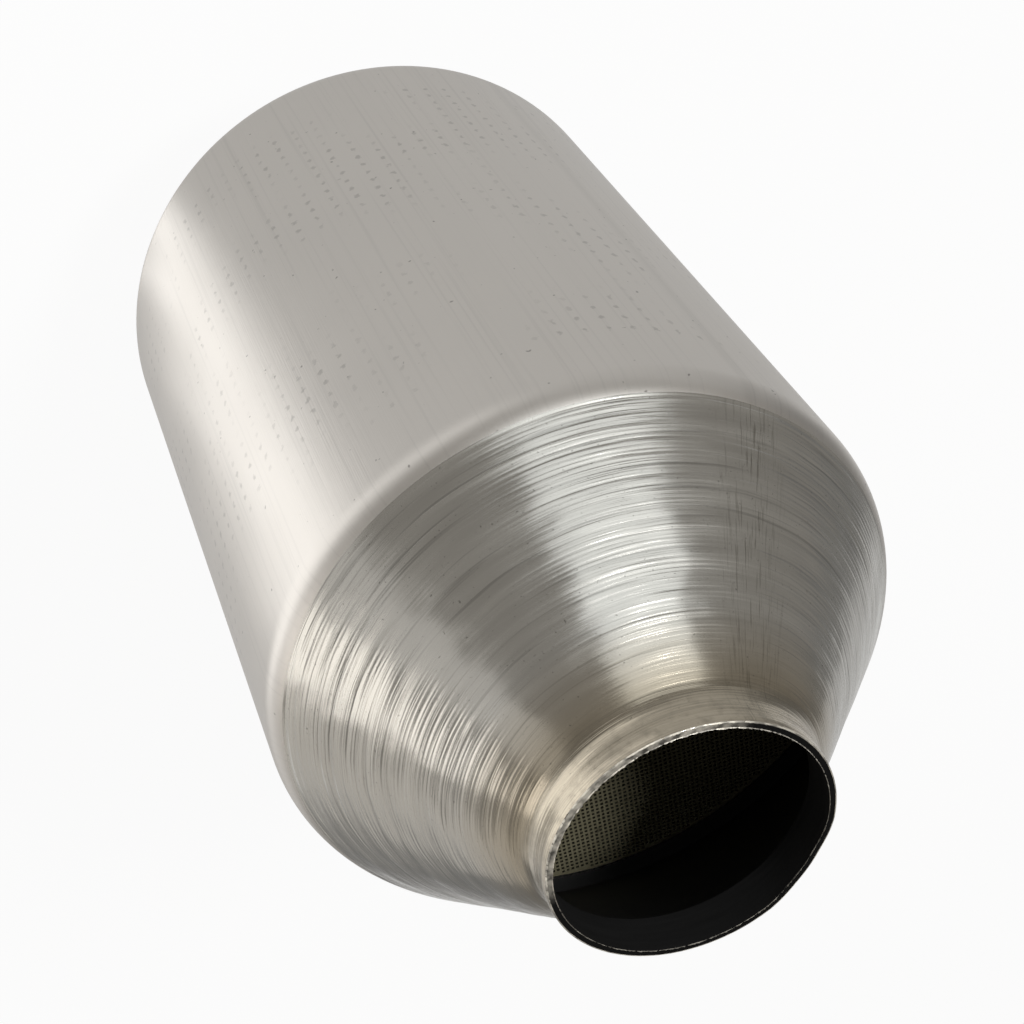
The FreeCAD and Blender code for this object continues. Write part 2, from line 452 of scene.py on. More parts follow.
def pit_grid_group():
    """Faint pits in rows and columns, worn away in patches."""
    tree, inside, outside = group(
        "Pit Grid",
        (("Columns", "NodeSocketFloat", 84.0), ("Row", "NodeSocketFloat", 4.15 * MM),
         ("First", "NodeSocketFloat", 67.8 * MM), ("Middle", "NodeSocketFloat", MIDDLE)),
        (("Mask", "NodeSocketFloat"),))
    place = parts_of(tree, object_place(tree))
    turns = math_node(tree, "DIVIDE", math_node(tree, "ARCTAN2", place["Y"], place["X"]), 2 * math.pi)
    column = math_node(tree, "FRACT", math_node(tree, "MULTIPLY", turns, inside.outputs["Columns"]))
    top = math_node(tree, "MULTIPLY", inside.outputs["Middle"], 2.0)
    from_rim = math_node(tree, "SUBTRACT", top, place["Z"])
    from_first = math_node(tree, "SUBTRACT", from_rim, inside.outputs["First"])
    rows = math_node(tree, "DIVIDE", from_first, inside.outputs["Row"])
    across = math_node(tree, "MULTIPLY", math_node(tree, "SUBTRACT", column, 0.5), PIT_ACROSS)
    row = math_node(tree, "FRACT", rows)
    along = math_node(tree, "MULTIPLY", math_node(tree, "SUBTRACT", row, 0.5), PIT_ALONG)
    reach = vector_math(tree, "LENGTH", vector_of(tree, X=across, Y=along))
    ragged = math_node(tree, "MULTIPLY", cloud(tree, 1100.0, detail=2.0), 1.6)
    pits = map_range(tree, math_node(tree, "ADD", reach, ragged), 1.35, 1.05)
    patches = map_range(tree, cloud(tree, 38.0, detail=1.0), 0.45, 0.62)
    started = math_node(tree, "MULTIPLY", math_node(tree, "GREATER_THAN", rows, 0.0),
                        math_node(tree, "LESS_THAN", rows, PIT_ROWS))
    kept = math_node(tree, "MULTIPLY", patches, started)
    tree.links.new(math_node(tree, "MULTIPLY", pits, kept), outside.inputs["Mask"])
    return tree


def weld_line_group():
    """A band along the axis at one compass angle, as wide as told, on one side only."""
    tree, inside, outside = group(
        "Weld Line",
        (("Angle", "NodeSocketFloat", 0.0), ("Half Width", "NodeSocketFloat", 2 * MM)),
        (("Mask", "NodeSocketFloat"),))
    turned = node(tree, "ShaderNodeVectorRotate", rotation_type="Z_AXIS")
    tree.links.new(object_place(tree), turned.inputs["Vector"])
    tree.links.new(math_node(tree, "MULTIPLY", inside.outputs["Angle"], -1.0), turned.inputs["Angle"])
    place = parts_of(tree, turned.outputs[0])
    off = math_node(tree, "ABSOLUTE", place["Y"])
    off = math_node(tree, "DIVIDE", off, inside.outputs["Half Width"])
    near = math_node(tree, "SUBTRACT", 1.0, off, clamp=True)
    side = math_node(tree, "GREATER_THAN", place["X"], 0.0)
    tree.links.new(math_node(tree, "MULTIPLY", near, side), outside.inputs["Mask"])
    return tree


def make_effects():
    """The shared effects, made once and kept in the file."""
    makers = {
        "Ring Streaks": ring_streaks_group, "Axial Streaks": axial_streaks_group, "Specks": specks_group,
        "From Rim": from_rim_group, "Pit Grid": pit_grid_group, "Weld Line": weld_line_group,
    }
    return {name: bpy.data.node_groups.get(name) or make() for name, make in makers.items()}


def blend_colours(tree, mask, first, second):
    mix = node(tree, "ShaderNodeMix", data_type="RGBA")
    for socket, colour in ((mix.inputs["A"], first), (mix.inputs["B"], second)):
        plain = not isinstance(colour, bpy.types.NodeSocket)
        connect(tree, (*colour, 1.0) if plain else colour, socket)
    connect(tree, mask, mix.inputs["Factor"])
    return mix.outputs["Result"]


def shade(colour, share):
    return [part * share for part in colour]


def bump(tree, shader, *layers):
    """Bump layers of (height, distance) on top of each other, the last one outermost."""
    under = None
    for height, distance in layers:
        made = node(tree, "ShaderNodeBump", Strength=1.0, Distance=distance)
        tree.links.new(height, made.inputs["Height"])
        if under:
            tree.links.new(under, made.inputs["Normal"])
        under = made.outputs[0]
    tree.links.new(under, shader.inputs["Normal"])


def weld_mask(tree, effects, sizes, half_width):
    weld = use_group(tree, effects["Weld Line"], Angle=sizes.weld_angle, Half_Width=half_width)
    return weld.outputs["Mask"]


def satin_steel(effects, colours, sizes):
    """Rolled sheet: cloudy satin, brushed along the axis, with faint pits and a ground weld."""
    material, tree, shader = new_material("satin_steel")
    shader.inputs["Metallic"].default_value = 1.0
    clouds = cloud(tree, 22.0)
    brushed = streaks(tree, effects["Axial Streaks"], Around=70.0, Along=9.0, Low=0.25, High=0.75)
    tint = blend_colours(tree, clouds, shade(colours.steel, 0.95), shade(colours.steel, 1.04))
    tint = blend_colours(tree, map_range(tree, brushed, 0.0, 0.4, 0.16, 0.0), tint, (0.30, 0.29, 0.28))
    pits = use_group(tree, effects["Pit Grid"]).outputs["Mask"]
    tint = blend_colours(tree, math_node(tree, "MULTIPLY", pits, 0.30), tint, (0.16, 0.15, 0.14))
    tint = blend_colours(tree, specks_mask(tree, effects, 700.0, 0.76, 0.6), tint, (0.12, 0.11, 0.10))
    weld = weld_mask(tree, effects, sizes, 2.5 * MM)
    tint = blend_colours(tree, math_node(tree, "MULTIPLY", weld, 0.10), tint, (0.2, 0.19, 0.17))
    tree.links.new(tint, shader.inputs["Base Color"])
    tree.links.new(map_range(tree, clouds, 0.3, 0.7, 0.37, 0.43), shader.inputs["Roughness"])
    fine = streaks(tree, effects["Axial Streaks"], Around=190.0, Along=45.0)
    bump(tree, shader, (cloud(tree, 60.0, 2.0), 0.10 * MM), (fine, 0.012 * MM))
    return material


def rolled_steel(effects, colours, sizes):
    """Cones and necks: roller lines round the axis, pits, a straw tint and painted shade at the root of the
    neck.
    """
    material, tree, shader = new_material("rolled_steel")
    shader.inputs["Metallic"].default_value = 1.0
    wide = streaks(tree, effects["Ring Streaks"], Along=24.0, Across=420.0, Detail=2.0)
    lines = streaks(tree, effects["Ring Streaks"], Along=20.0, Across=1500.0, Detail=2.0)
    fine = streaks(tree, effects["Ring Streaks"], Along=60.0, Across=3600.0, Detail=3.0)
    across = streaks(tree, effects["Axial Streaks"], Around=110.0, Along=170.0)
    tint = blend_colours(tree, wide, shade(colours.rolled, 0.92), shade(colours.rolled, 1.06))
    tint = blend_colours(tree, map_range(tree, lines, 0.02, 0.28, 0.42, 0.0), tint, (0.20, 0.195, 0.18))
    depth = use_group(tree, effects["From Rim"]).outputs["Distance"]
    tint = blend_colours(tree, map_range(tree, depth, 10.5 * MM, 20 * MM, 1.0, 0.0), tint, colours.heated)
    # Painted shade: the root between neck and cone is darkened in patches, where shade falls in the crease.
    root = math_node(tree, "MULTIPLY", map_range(tree, depth, 6.2 * MM, 7.6 * MM),
                     map_range(tree, depth, 9.4 * MM, 12 * MM, 1.0, 0.0))
    root = math_node(tree, "MULTIPLY", root, map_range(tree, cloud(tree, 130.0), 0.3, 0.6, 0.0, 0.25))
    tint = blend_colours(tree, root, tint, shade(colours.heated, 0.35))
    stain = math_node(tree, "MULTIPLY", map_range(tree, depth, 12 * MM, 2 * MM),
                      map_range(tree, cloud(tree, 420.0, 5.0), 0.5, 0.66, 0.0, 0.4))
    tint = blend_colours(tree, stain, tint, shade(colours.heated, 0.45))
    worn = math_node(tree, "MULTIPLY", map_range(tree, depth, 13 * MM, 8 * MM),
                     map_range(tree, fine, 0.15, 0.6, 0.38, 0.0))
    tint = blend_colours(tree, worn, tint, shade(colours.heated, 0.4))
    tint = blend_colours(tree, specks_mask(tree, effects, 2000.0, 0.72, 0.5), tint, (0.10, 0.095, 0.08))
    weld = weld_mask(tree, effects, sizes, 9.0 * MM)
    scars = math_node(tree, "MULTIPLY", weld, map_range(tree, across, 0.6, 0.95, 0.0, 0.6))
    tint = blend_colours(tree, scars, tint, (0.12, 0.11, 0.08))
    tree.links.new(tint, shader.inputs["Base Color"])
    tree.links.new(map_range(tree, wide, 0.0, 1.0, 0.19, 0.27), shader.inputs["Roughness"])
    bump(tree, shader, (wide, 0.05 * MM), (lines, 0.032 * MM), (fine, 0.010 * MM))
    return material


def black_scale(effects, colours):
    """Near-black inside the shell as painted shade, made lighter deeper below the rim as painted light where
    little lamp light reaches.
    """
    material, tree, shader = new_material("black_scale")
    shader.inputs["Roughness"].default_value = 0.75
    shader.inputs["Specular IOR Level"].default_value = 0.15
    rings = streaks(tree, effects["Ring Streaks"], Along=60.0, Across=900.0)
    tint = blend_colours(tree, rings, shade(colours.scale, 0.8), shade(colours.scale, 1.3))
    depth = use_group(tree, effects["From Rim"]).outputs["Distance"]
    # Painted light: the inside grows lighter deeper below the rim, where little lamp light reaches.
    tint = blend_colours(tree, map_range(tree, depth, 8 * MM, 40 * MM), tint, shade(colours.scale, 4))
    tree.links.new(tint, shader.inputs["Base Color"])
    bump(tree, shader, (cloud(tree, 800.0), 0.05 * MM))
    return material


def one_side(tree, angle, low, high):
    """A mask that is 1 on the side of the axis that faces one compass angle."""
    unit = vector_math(tree, "NORMALIZE", vector_math(tree, "MULTIPLY", object_place(tree), (1, 1, 0)))
    facing = vector_math(tree, "DOT_PRODUCT", unit, (math.cos(angle), math.sin(angle), 0))
    return map_range(tree, facing, low, high)


def sawn_edge(colours, sizes):
    """The sawn face of a rim: gritty, near-black as painted shade, rubbed bright on one side."""
    material, tree, shader = new_material("sawn_edge")
    shader.inputs["Metallic"].default_value = 0.3
    shader.inputs["Roughness"].default_value = 0.7
    shader.inputs["Specular IOR Level"].default_value = 0.05
    grit = cloud(tree, 1400.0)
    # The near-black sawn colour is painted shade; the grit varies it.
    tint = blend_colours(tree, grit, colours.sawn, shade(colours.sawn, 2.5))
    rubbed = math_node(tree, "MULTIPLY", one_side(tree, sizes.burr_angle, 0.45, 0.7),
                       map_range(tree, cloud(tree, 500.0), 0.35, 0.6, 0.15, 1.0))
    tint = blend_colours(tree, rubbed, tint, shade(colours.burr, 0.55))
    tree.links.new(tint, shader.inputs["Base Color"])
    bump(tree, shader, (grit, 0.05 * MM))
    return material


def torn_steel(colours, sizes):
    """Bright torn burr on the rim's edges."""
    material, tree, shader = new_material("torn_steel")
    shader.inputs["Metallic"].default_value = 0.25
    shader.inputs["Roughness"].default_value = 0.45
    patches = map_range(tree, cloud(tree, 420.0, 2.0), 0.40, 0.58, 0.3, 1.0)
    side = math_node(tree, "MAXIMUM", one_side(tree, sizes.burr_angle, 0.3, 0.6), 0.55)
    bright = math_node(tree, "MULTIPLY", patches, side)
    tint = blend_colours(tree, bright, shade(colours.burr, 0.1), colours.burr)
    tree.links.new(tint, shader.inputs["Base Color"])
    bump(tree, shader, (cloud(tree, 1800.0, 2.0), 0.08 * MM))
    return material


def washcoat(effects, sizes):
    """Coated ceramic on the brick's face."""
    material, tree, shader = new_material("washcoat")
    shader.inputs["Roughness"].default_value = 0.9
    shader.inputs["Specular IOR Level"].default_value = 0.2
    grain = cloud(tree, 900.0)
    tint = blend_colours(tree, grain, shade(sizes.coat, 0.8), shade(sizes.coat, 1.15))
    tint = blend_colours(tree, specks_mask(tree, effects, 600.0, 0.7, 0.6), tint, shade(sizes.coat, 0.3))
    tree.links.new(tint, shader.inputs["Base Color"])
    bump(tree, shader, (grain, 0.015 * MM))
    return material


def channel_coat(sizes):
    """The same coat inside the channels, darkened as painted shade in the deep channels."""
    material, tree, shader = new_material("channel_coat")
    shader.inputs["Roughness"].default_value = 0.9
    shader.inputs["Specular IOR Level"].default_value = 0.1
    tint = blend_colours(tree, cloud(tree, 900.0), shade(sizes.coat, 0.08), shade(sizes.coat, 0.16))
    tree.links.new(tint, shader.inputs["Base Color"])
    return material


def pressed_fibre():
    """Pressed mineral fibre of the mat."""
    material, tree, shader = new_material("pressed_fibre")
    shader.inputs["Roughness"].default_value = 0.95
    fibres = cloud(tree, 400.0, detail=6.0)
    tint = blend_colours(tree, fibres, (0.55, 0.5, 0.4), (0.85, 0.82, 0.74))
    tree.links.new(tint, shader.inputs["Base Color"])
    bump(tree, shader, (fibres, 0.2 * MM))
    return material


def wire_rope():
    """Knitted wire of the seal rings."""
    material, tree, shader = new_material("wire_rope")
    shader.inputs["Metallic"].default_value = 1.0
    shader.inputs["Roughness"].default_value = 0.4
    wires = node(tree, "ShaderNodeTexVoronoi", Scale=1500.0)
    tree.links.new(object_place(tree), wires.inputs["Vector"])
    tint = blend_colours(tree, wires.outputs["Distance"], (0.5, 0.49, 0.46), (0.1, 0.1, 0.1))
    tree.links.new(tint, shader.inputs["Base Color"])
    return material


# ---------------------------------------------------------------- the pieces
class CATALYST_OT_shell(bpy.types.Operator):
    """Spin the tube's section round the axis, with roller marks on both cones and sawn rims"""
    bl_idname = "catalyst.shell"
    bl_label = "Spun shell"

    def execute(self, context):
        sizes = context.scene.shell_sizes
        outside = self.outside_half(sizes)
        inside = self.inside_half(sizes)
        chain = [(x, -z) for x, z in inside] + inside[::-1]
        chain += outside + [(x, -z) for x, z in outside[::-1]]
        piece = draw_chain("shell_spun", close_chain((x, z + MIDDLE) for x, z in chain))
        spin_round(piece, sizes.segments)
        effects = make_effects()
        colours = context.scene.shell_colours
        set_material(piece, satin_steel(effects, colours, sizes), rolled_steel(effects, colours, sizes),
                     black_scale(effects, colours), sawn_edge(colours, sizes))
        for face in piece.data.polygons:
            face.material_index = self.finish_of(face, sizes)
        self.wander(piece, sizes)
        self.join_burrs(piece, sizes, torn_steel(colours, sizes))
        self.knock_rim(piece, sizes)
        make_active(piece)
        bpy.ops.object.shade_smooth_by_angle(angle=STEEL_CREASE)
        finish_piece(piece, ["shell"])
        return {"FINISHED"}

    def outside_half(self, sizes):
        """Rim to middle, as (x, height above the middle)."""
        rim = (NECK_R, MIDDLE)
        root = (NECK_R, MIDDLE - sizes.neck_length)
        shoulder = (BODY_R, MIDDLE - sizes.cone_end)
        middle = (BODY_R, 0.0)
        root_arc = arc_points(rim, root, shoulder, sizes.root_radius, 8)
        shoulder_arc = arc_points(root, shoulder, middle, sizes.shoulder_radius, 10)
        cone = self.marked_cone(root_arc[-1], shoulder_arc[0], sizes)
        sawn = MIDDLE - sizes.burr
        turned = [(NECK_R - 0.22 * MM, sawn), (NECK_R - 0.12 * MM, sawn - 0.1 * MM),
                  (NECK_R - 0.10 * MM, MIDDLE - 1.0 * MM), (NECK_R, MIDDLE - 1.3 * MM)]
        straight = [(NECK_R, MIDDLE - 2.6 * MM), (NECK_R, MIDDLE - 3.9 * MM)]
        body = [Vector((BODY_R, shoulder_arc[-1].y * (1 - i / 4))) for i in range(1, 5)]
        return turned + straight + [tuple(p) for p in root_arc + cone + shoulder_arc + body]

    def marked_cone(self, start, end, sizes):
        """The cone's line with uneven roller marks, deeper towards the shoulder."""
        rng = random.Random(4)
        along = (end - start).normalized()
        inward = Vector((along.y, -along.x))
        if inward.x > 0:
            inward = -inward
        length = (end - start).length
        points = []
        place = 0.3 * MM
        while place < length - 0.5 * MM:
            share = place / length
            pitch = sizes.mark_pitch * (0.8 + 0.3 * share) * rng.uniform(0.75, 1.25)
            depth = sizes.mark_depth * (0.35 + 0.65 * share) * rng.choice((0.3, 0.45, 0.7, 1.0))
            points.append(start + along * place)
            points.append(start + along * (place + 0.26 * pitch) + inward * depth)
            points.append(start + along * (place + 0.55 * pitch) + inward * depth * 0.4)
            place += pitch
        return points

    def inside_half(self, sizes):
        """Rim to middle on the inner face."""
        slope = math.atan2(BODY_R - NECK_R, sizes.cone_end - sizes.neck_length)
        shift = WALL * math.tan(slope / 2)
        root = (BORE_R, MIDDLE - sizes.neck_length - shift)
        shoulder = (BODY_R - WALL, MIDDLE - sizes.cone_end - shift)
        points = [(BORE_R, MIDDLE - sizes.burr), (BORE_R, MIDDLE - sizes.neck_length / 2), root]
        points += [tuple(Vector(root).lerp(Vector(shoulder), i / 6)) for i in range(1, 6)]
        return points + [shoulder, (BODY_R - WALL, 0.0)]

    def finish_of(self, face, sizes):
        """Which material a face takes, by its place on the section."""
        height = abs(face.center.z - MIDDLE)
        outward = face.normal.x * face.center.x + face.normal.y * face.center.y
        if height > MIDDLE - sizes.burr - 0.02 * MM:
            return 3
        if outward < 0:
            return 2
        return 1 if height > MIDDLE - self.marks_end(sizes) else 0

    def marks_end(self, sizes):
        """How far below the rim the roller marks stop, where the shoulder's arc begins."""
        slope = math.atan2(BODY_R - NECK_R, sizes.cone_end - sizes.neck_length)
        return sizes.cone_end - sizes.shoulder_radius * math.tan(slope / 2) * math.cos(slope)

    def wander(self, piece, sizes):
        """Let the roller marks wander along the axis, and leave the cones slightly uneven."""
        start = sizes.neck_length + 3 * MM
        end = self.marks_end(sizes)
        cones = piece.vertex_groups.new(name="cones")
        for vertex in piece.data.vertices:
            depth = MIDDLE - abs(vertex.co.z - MIDDLE)
            radius = math.hypot(vertex.co.x, vertex.co.y)
            share = (depth - sizes.neck_length) / (sizes.cone_end - sizes.neck_length)
            wall = NECK_R + share * (BODY_R - NECK_R)
            fade = min((depth - start) / (5 * MM), (end - depth) / (1.2 * MM), 1.0)
            if fade > 0 and radius > wall - WALL / 2:
                cones.add([vertex.index], fade, "REPLACE")
        for name, direction, size, strength in (
            ("wander", "Z", 13 * MM, sizes.waver), ("dents", "NORMAL", 6 * MM, 0.06 * MM),
        ):
            texture = bpy.data.textures.new(name, "CLOUDS")
            texture.noise_scale = size
            push = piece.modifiers.new(name, "DISPLACE")
            push.texture = texture
            push.direction = direction
            push.strength = strength
            push.mid_level = 0.5
            push.vertex_group = "cones"
            make_active(piece)
            bpy.ops.object.modifier_apply(modifier=push.name)

    def join_burrs(self, piece, sizes, material):
        """A ragged lip round the inner edge of both rims, and one on part of the outer edge."""
        base = MIDDLE - sizes.burr - 0.1 * MM
        inner = ((BORE_R, base), (BORE_R + 0.03 * MM, MIDDLE - 0.1 * MM), (BORE_R + 0.24 * MM, base))
        outer = ((NECK_R - 0.62 * MM, base), (NECK_R - 0.26 * MM, base + 0.14 * MM),
                 (NECK_R - 0.11 * MM, base))
        burrs = []
        for end in (1, -1):
            for lip, strength, middle, angle in (
                (inner, -1.6, 0.21, None), (outer, 1.2, 0.35, sizes.burr_angle),
            ):
                ring = draw_chain("burr", [(x, MIDDLE + end * z) for x, z in (*lip, lip[0])])
                spin_round(ring, BURR_STEPS)
                self.tear(ring, end * strength * sizes.burr, middle, MIDDLE + end * lip[1][1], angle)
                set_material(ring, material)
                burrs.append(ring)
        make_active(piece)
        for ring in burrs:
            ring.select_set(True)
        bpy.ops.object.join()

    def tear(self, ring, strength, middle, tip, angle):
        """Make one lip ragged: its tip is pulled up or torn down by uneven amounts."""
        tips = ring.vertex_groups.new(name="tips")
        for vertex in ring.data.vertices:
            if abs(vertex.co.z - tip) < 0.01 * MM:
                share = 1.0
                if angle is not None:
                    facing = math.cos(math.atan2(vertex.co.y, vertex.co.x) - angle)
                    share = min(max((facing - 0.3) * 3, 0.0), 1.0)
                tips.add([vertex.index], share, "REPLACE")
        texture = bpy.data.textures.new("torn", "CLOUDS")
        texture.noise_scale = 0.55 * MM
        push = ring.modifiers.new("torn", "DISPLACE")
        push.texture = texture
        push.direction = "Z"
        push.strength = strength
        push.mid_level = middle
        push.vertex_group = "tips"
        make_active(ring)
        bpy.ops.object.modifier_apply(modifier=push.name)

    def knock_rim(self, piece, sizes):
        """Push the front rim in a little at one place, as a knock has done."""
        towards = Vector((math.cos(sizes.knock_angle), math.sin(sizes.knock_angle), 0))
        spot = towards * NECK_R + Vector((0, 0, TOP))
        edit(piece)
        pick(piece, "verts", lambda vertex: (vertex.co - spot).length < 3 * MM)
        bpy.ops.transform.translate(
            value=-towards * sizes.knock, use_proportional_edit=True,
            proportional_edit_falloff="SMOOTH", proportional_size=9 * MM)
        bpy.ops.object.mode_set(mode="OBJECT")


class CATALYST_OT_brick(bpy.types.Operator):
    """Pierce a disc with the grid of gas channels and give it the brick's length"""
    bl_idname = "catalyst.brick"
    bl_label = "Honeycomb brick"

    def execute(self, context):
        sizes = context.scene.brick_sizes
        radius = BRICK_HIGH.x
        pitch = sizes.pitch
        count = int(2 * (radius - sizes.skin) / pitch)
        start = -count * pitch / 2
        bpy.ops.mesh.primitive_plane_add(size=pitch, location=(start + pitch / 2, start + pitch / 2, 0))
        piece = bpy.context.object
        piece.name = "honeycomb_cells"
        piece.data.name = "honeycomb_cells"
        edit(piece)
        self.divide_cell(start, pitch, sizes.wall)
        bpy.ops.object.mode_set(mode="OBJECT")
        bpy.ops.object.transform_apply(location=True, rotation=True, scale=True)
        for axis in range(2):
            step = [0.0, 0.0, 0.0]
            step[axis] = pitch
            row = piece.modifiers.new("row", "ARRAY")
            row.count = count
            row.use_relative_offset = False
            row.use_constant_offset = True
            row.constant_offset_displace = step
            bpy.ops.object.modifier_apply(modifier=row.name)
        edit(piece)
        bpy.ops.mesh.select_all(action="SELECT")
        bpy.ops.mesh.remove_doubles(threshold=0.001 * MM)
        self.trim(piece, radius - sizes.skin, start, pitch)
        self.close_skin(piece, radius)
        pick(piece, "faces", lambda face: self.is_opening(face, start, pitch, sizes.wall))
        bpy.ops.mesh.delete(type="ONLY_FACE")
        bpy.ops.mesh.select_all(action="SELECT")
        bpy.ops.mesh.normals_make_consistent(inside=False)
        bpy.ops.transform.translate(value=(0, 0, BRICK_HIGH.z))
        bpy.ops.object.mode_set(mode="OBJECT")
        piece.rotation_euler = (0, 0, sizes.turn)
        bpy.ops.object.transform_apply(location=False, rotation=True, scale=False)
        edit(piece)
        bpy.ops.mesh.select_all(action="SELECT")
        length = BRICK_HIGH.z - BRICK_LOW.z
        bpy.ops.mesh.extrude_region_move(TRANSFORM_OT_translate={"value": (0, 0, -length)})
        bpy.ops.mesh.select_all(action="SELECT")
        bpy.ops.mesh.normals_make_consistent(inside=False)
        bpy.ops.object.mode_set(mode="OBJECT")
        effects = make_effects()
        set_material(piece, washcoat(effects, sizes), channel_coat(sizes))
        for face in piece.data.polygons:
            skin = math.hypot(face.center.x, face.center.y) > radius - sizes.skin / 2
            face.material_index = 0 if skin or abs(face.normal.z) > 0.5 else 1
        finish_piece(piece, ["honeycomb"])
        return {"FINISHED"}

    def divide_cell(self, start, pitch, wall):
        """Two cuts part the cell's wall strips from its opening."""
        for normal in ((1, 0, 0), (0, 1, 0)):
            bpy.ops.mesh.select_all(action="SELECT")
            place = tuple((start + wall) * n for n in normal)
            bpy.ops.mesh.bisect(plane_co=place, plane_no=normal)

    def cell_of(self, x, y, start, pitch):
        return int((x - start) // pitch), int((y - start) // pitch)

    def holds(self, column, row, start, pitch, reach):
        """Whether a whole cell lies inside the skin."""
        low_x, low_y = start + column * pitch, start + row * pitch
        far_x = max(abs(low_x), abs(low_x + pitch))
        far_y = max(abs(low_y), abs(low_y + pitch))
        return math.hypot(far_x, far_y) < reach

    def trim(self, piece, reach, start, pitch):
        """Take away the cells that the skin would cut."""
        def outside(face):
            middle = face.calc_center_median()
            cell = self.cell_of(middle.x, middle.y, start, pitch)
            return not self.holds(*cell, start, pitch, reach)
        pick(piece, "faces", outside)
        bpy.ops.mesh.delete(type="FACE")

    def close_skin(self, piece, radius):
        """Fill between the trimmed grid and the brick's round edge."""
        bpy.ops.mesh.primitive_circle_add(vertices=BRICK_STEPS, radius=radius, location=(0, 0, 0))
        pick(piece, "edges", lambda edge: len(edge.link_faces) < 2)
        bpy.ops.mesh.fill(use_beauty=False)

    def is_opening(self, face, start, pitch, wall):
        """Whether a face is the square opening of one gas channel."""
        opening = pitch - wall
        if len(face.verts) != 4 or abs(face.calc_area() - opening ** 2) > 0.02 * opening ** 2:
            return False
        middle = face.calc_center_median()
        column, row = self.cell_of(middle.x, middle.y, start, pitch)
        expected = (start + column * pitch + wall + opening / 2, start + row * pitch + wall + opening / 2)
        return math.dist(expected, (middle.x, middle.y)) < 0.01 * MM


class CATALYST_OT_packing(bpy.types.Operator):
    """Give the mat and the wire rings their finishes"""
    bl_idname = "catalyst.packing"
    bl_label = "Mat and wire rings"

    def execute(self, context):
        set_material(frame["nodes"]["support_mat"], pressed_fibre())
        wires = wire_rope()
        for name in ("front_mesh_seal", "rear_mesh_seal"):
            set_material(frame["nodes"][name], wires)
        return {"FINISHED"}


